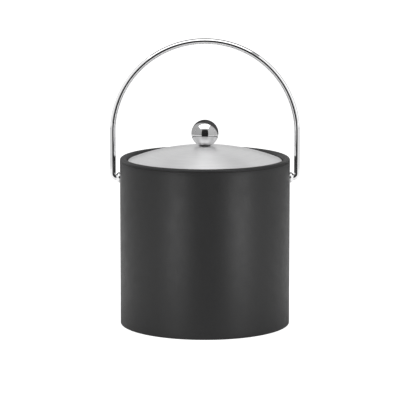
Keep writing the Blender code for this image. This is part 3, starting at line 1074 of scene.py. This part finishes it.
def upright_softbox(name, azimuth, distance, low, high, width, radiance):
    """A softbox that stands at an azimuth, 0 being towards the camera, between two heights."""
    angle = math.radians(azimuth)
    middle = (low + high) / 2
    place = (distance * math.sin(angle), -distance * math.cos(angle), middle)
    return softbox(name, place, (width, high - low), radiance, (0.0, 0.0, middle))


def overhead_softbox(name, x, radiance):
    """A wide softbox that hangs over the front of the bucket and faces straight down."""
    return softbox(name, (x, -0.33, 1.05), (1.30, 0.78), radiance, (x, -0.33, 0.0))


def rear_softbox(name, x, radiance):
    """A wide softbox behind the bucket and above it."""
    return softbox(name, (x, 0.9, 0.85), (2.4, 1.3), radiance, (0.0, 0.0, 0.2))


def card_material():
    """Matt black card, slightly uneven."""
    made, tree, shader, place = new_material("black_card")
    tone = two_tone(tree, grain(tree, place, 0.05), (0.015, 0.015, 0.015), (0.025, 0.025, 0.025))
    connect(tree, shader, Base_Color=tone, Roughness=0.9)
    return made


def flag(name, distance, half_width, height):
    """A black card that stands across the view and only shows in reflections."""
    form = bmesh.new()
    corners = [(-half_width, 0.002), (half_width, 0.002), (half_width, height), (-half_width, height)]
    form.faces.new([form.verts.new((x, distance, z)) for x, z in corners])
    card = stage_piece(name, mesh_of(name, form), card_material())
    card.visible_camera = False


def lid_lights():
    """For the satin lid: from above with a narrow bright strip, and fainter from behind and the sides."""
    return [
        overhead_softbox("lid_top", -0.10, 1.33),
        softbox("lid_strip", (0.0, 0.10, 1.2), (0.22, 0.7), 1.25, (0.0, 0.10, 0.0)),
        rear_softbox("lid_back", 0.1, 0.75),
        softbox("lid_left", (-1.1, 0.35, 0.95), (0.8, 0.8), 0.7, (0.0, 0.0, 0.2)),
        softbox("lid_right", (1.1, 0.35, 0.95), (0.8, 0.8), 0.85, (0.0, 0.0, 0.2)),
    ]


def wall_lights():
    """For the vinyl wall: a pale band down each side of the front, and a faint fill between them."""
    return [
        upright_softbox("band_left", -33.0, 0.39, 0.005, 0.15, 0.13, 2.05),
        upright_softbox("band_right", 42.5, 0.39, 0.005, 0.15, 0.14, 2.2),
        upright_softbox("front_fill", 3.0, 0.45, 0.06, 0.35, 0.30, 0.36),
    ]


def bail_lights():
    """For the chrome rod: from the floor all round, and from both sides."""
    return [
        softbox("bail_floor", (0.0, 0.0, 0.004), (5.0, 5.0), 0.35, (0.0, 0.0, 1.0)),
        softbox("bail_left", (-1.6, 0.0, 0.9), (3.2, 1.8), 0.65, (0.0, 0.0, 0.2)),
        softbox("bail_right", (1.6, 0.0, 0.9), (3.2, 1.8), 0.65, (0.0, 0.0, 0.2)),
    ]


def lights():
    """Each kind of surface has its own softboxes, as a studio would light them in turn."""
    linked(overhead_softbox("softbox_top", -0.10, 1.6), ("rolled_rim", "spun_lid"), only=False)
    linked(softbox("liner_mouth", (0.0, 0.0, 0.175), (0.11, 0.11), 1.1, (0.0, 0.0, 0.0)), ("liner_pail",))
    groups = {
        ("spun_lid",): lid_lights(),
        ("vinyl_wrap", "rolled_rim"): wall_lights(),
        ("rolled_rim",): [rear_softbox("rim_back", 0.0, 0.35), overhead_softbox("rim_top", 0.0, 0.75)],
        ("bail_rod", "ear_bushing_left", "ear_bushing_right"): bail_lights(),
    }
    for pieces, group in groups.items():
        for light in group:
            linked(light, pieces)
    flag("front_flag", -0.60, 0.32, 0.68)


def studio():
    """White for the camera. Reflections see grey walls, brighter on the right, with a dark corner."""
    world = bpy.data.worlds.new("studio")
    world.use_nodes = True
    tree = world.node_tree
    way = add(tree, "TexCoord").outputs["Generated"]
    parts = add(tree, "SeparateXYZ", {0: way}).outputs
    toward = calc(tree, "MULTIPLY", parts[1], -1.0)
    azimuth = calc(tree, "ARCTAN2", parts[0], toward)
    elevation = calc(tree, "ARCSINE", parts[2])
    right = between(tree, azimuth, math.radians(10), math.radians(40), soft=True)
    toward_corner = {0: way, 1: (0.28, 0.80, 0.53)}
    corner = add(tree, "VectorMath", toward_corner, operation="DOT_PRODUCT").outputs["Value"]
    dark = between(tree, corner, 0.62, 0.76, soft=True)
    wall = between(tree, elevation, math.radians(-10), math.radians(60), 0.37, 0.48)
    wall = calc(tree, "ADD", wall, calc(tree, "MULTIPLY", right, 0.13))
    wall = calc(tree, "MULTIPLY", wall, between(tree, dark, 0.0, 1.0, 1.0, 0.12))
    seen = add(tree, "LightPath").outputs["Is Camera Ray"]
    strength = between(tree, seen, 0.0, 1.0, wall, 1.0)
    background = tree.nodes["Background"]
    background.inputs["Color"].default_value = (1.0, 1.0, 1.0, 1.0)
    tree.links.new(strength, background.inputs["Strength"])
    bpy.context.scene.world = world


def camera():
    """The photo's view: from the front, a little above the lid."""
    tilt = math.radians(CAMERA_ELEVATION)
    lens = bpy.data.cameras.new("front_view")
    lens.lens = CAMERA_LENS
    lens.sensor_width = 36.0
    lens.shift_x = CAMERA_SHIFT
    lens.clip_start = 0.1
    lens.clip_end = 100.0
    made = bpy.data.objects.new("front_view", lens)
    made.location = (
        0.0,
        -CAMERA_DISTANCE * math.cos(tilt),
        AIM_HEIGHT + CAMERA_DISTANCE * math.sin(tilt),
    )
    made.rotation_euler = (math.pi / 2 - tilt, 0.0, 0.0)
    bpy.context.scene.collection.objects.link(made)
    bpy.context.scene.camera = made
    bpy.context.scene.view_settings.view_transform = "Standard"


camera()
build_pieces()
floor()
lights()
studio()
